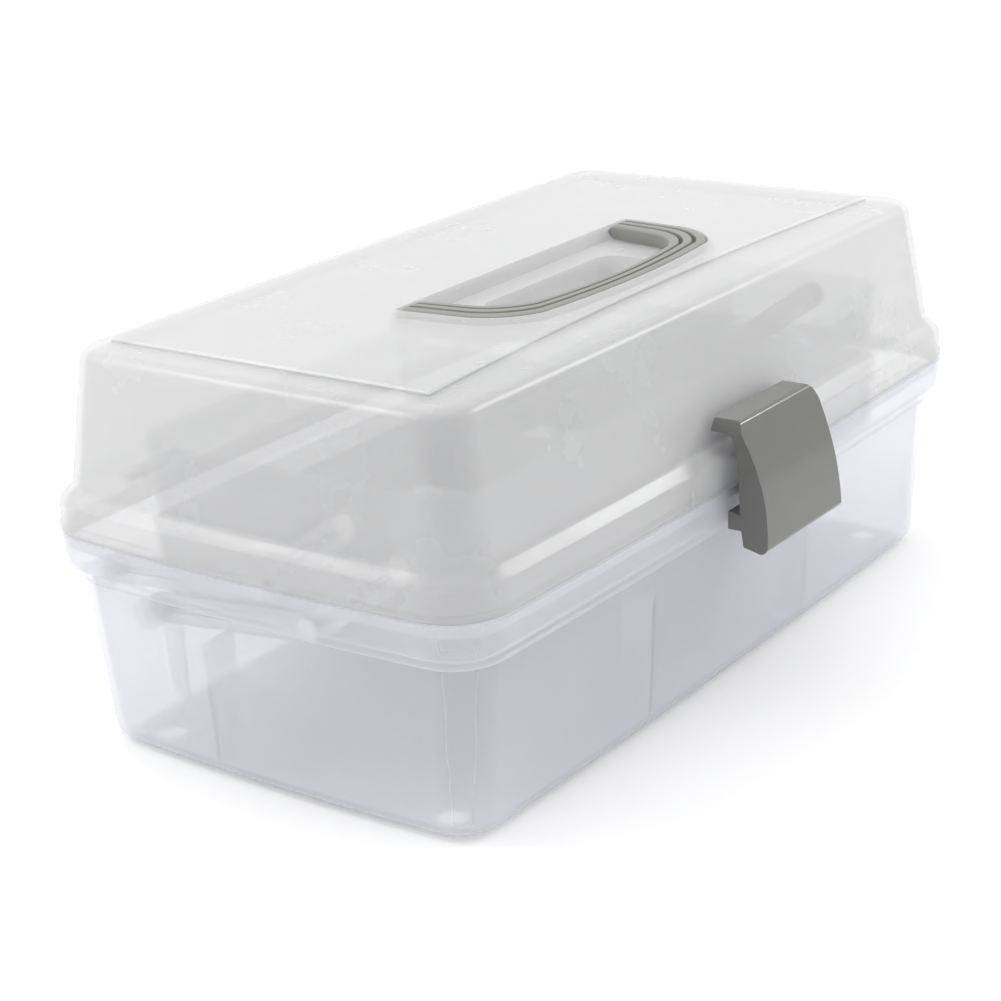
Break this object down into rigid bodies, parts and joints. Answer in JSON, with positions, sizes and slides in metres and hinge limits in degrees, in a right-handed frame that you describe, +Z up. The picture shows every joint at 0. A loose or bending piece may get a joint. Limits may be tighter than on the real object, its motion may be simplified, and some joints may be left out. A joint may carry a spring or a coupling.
{
  "type": "art supply box",
  "caption": "Clear plastic art supply box with a hinged lid, folding handle, snap latch and two trays on arms that rise and step back as the lid opens.",
  "frame": {"origin": "under the middle of the whole box, on the surface it stands on", "axes": "+Z up, +X along the length to the right, the latch on the -Y side and the hinges on the +Y side"},
  "size_m": [0.3264, 0.2105, 0.1398],
  "materials": {
    "frosted_bin": "slightly frosted clear polypropylene",
    "frosted_lid": "slightly frosted clear polypropylene",
    "clear_tray": "slightly frosted clear polypropylene",
    "clear_arm": "clear plastic",
    "grey_handle": "satin grey plastic",
    "grey_latch": "polished grey plastic",
    "rivet_plastic": "natural nylon",
    "pin_steel": "drawn steel wire"
  },
  "bodies": {
    "base": {"base_bin": "frosted_bin", "left_bin_rivets": "rivet_plastic", "right_bin_rivets": "rivet_plastic", "left_hinge_pin": "pin_steel", "right_hinge_pin": "pin_steel"},
    "lid": {"lid": "frosted_lid", "latch_pin": "pin_steel"},
    "handle": {"handle": "grey_handle"},
    "latch": {"latch": "grey_latch"},
    "front_arms": {"left_front_arm": "clear_arm", "right_front_arm": "clear_arm"},
    "rear_arms": {"left_rear_arm": "clear_arm", "right_rear_arm": "clear_arm"},
    "lower_tray": {"lower_tray": "clear_tray", "left_lower_tray_rivets": "rivet_plastic", "right_lower_tray_rivets": "rivet_plastic"},
    "upper_tray": {"upper_tray": "clear_tray", "left_upper_tray_rivets": "rivet_plastic", "right_upper_tray_rivets": "rivet_plastic"}
  },
  "joints": [
    {"name": "lid_hinge", "type": "hinge", "parent": "base", "child": "lid", "pos_m": [0, 0.1017, 0.0774], "axis": [-1, 0, 0], "range_deg": [0, 100]},
    {"name": "handle_pivot", "type": "hinge", "parent": "lid", "child": "handle", "pos_m": [0, 0.0054, 0.13705], "axis": [-1, 0, 0], "range_deg": [0, 95]},
    {"name": "latch_pivot", "type": "hinge", "parent": "lid", "child": "latch", "pos_m": [0, -0.0891, 0.0965], "axis": [-1, 0, 0], "range_deg": [0, 90]},
    {"name": "front_arm_pivot", "type": "hinge", "parent": "base", "child": "front_arms", "pos_m": [0, 0.0544, 0.052], "axis": [-1, 0, 0], "range_deg": [0, 55]},
    {"name": "rear_arm_pivot", "type": "hinge", "parent": "base", "child": "rear_arms", "pos_m": [0, 0.0744, 0.062], "axis": [-1, 0, 0], "range_deg": [0, 55]},
    {"name": "lower_tray_pivot", "type": "hinge", "parent": "rear_arms", "child": "lower_tray", "pos_m": [0, 0.0094, 0.068], "axis": [-1, 0, 0], "range_deg": [-55, 0]},
    {"name": "upper_tray_pivot", "type": "hinge", "parent": "rear_arms", "child": "upper_tray", "pos_m": [0, -0.0296, 0.096], "axis": [-1, 0, 0], "range_deg": [-55, 0]}
  ],
  "couplings": [
    {"joint": "front_arm_pivot", "follows": "lid_hinge", "ratio": 0.55},
    {"joint": "rear_arm_pivot", "follows": "lid_hinge", "ratio": 0.55},
    {"joint": "lower_tray_pivot", "follows": "lid_hinge", "ratio": -0.55},
    {"joint": "upper_tray_pivot", "follows": "lid_hinge", "ratio": -0.55}
  ]
}
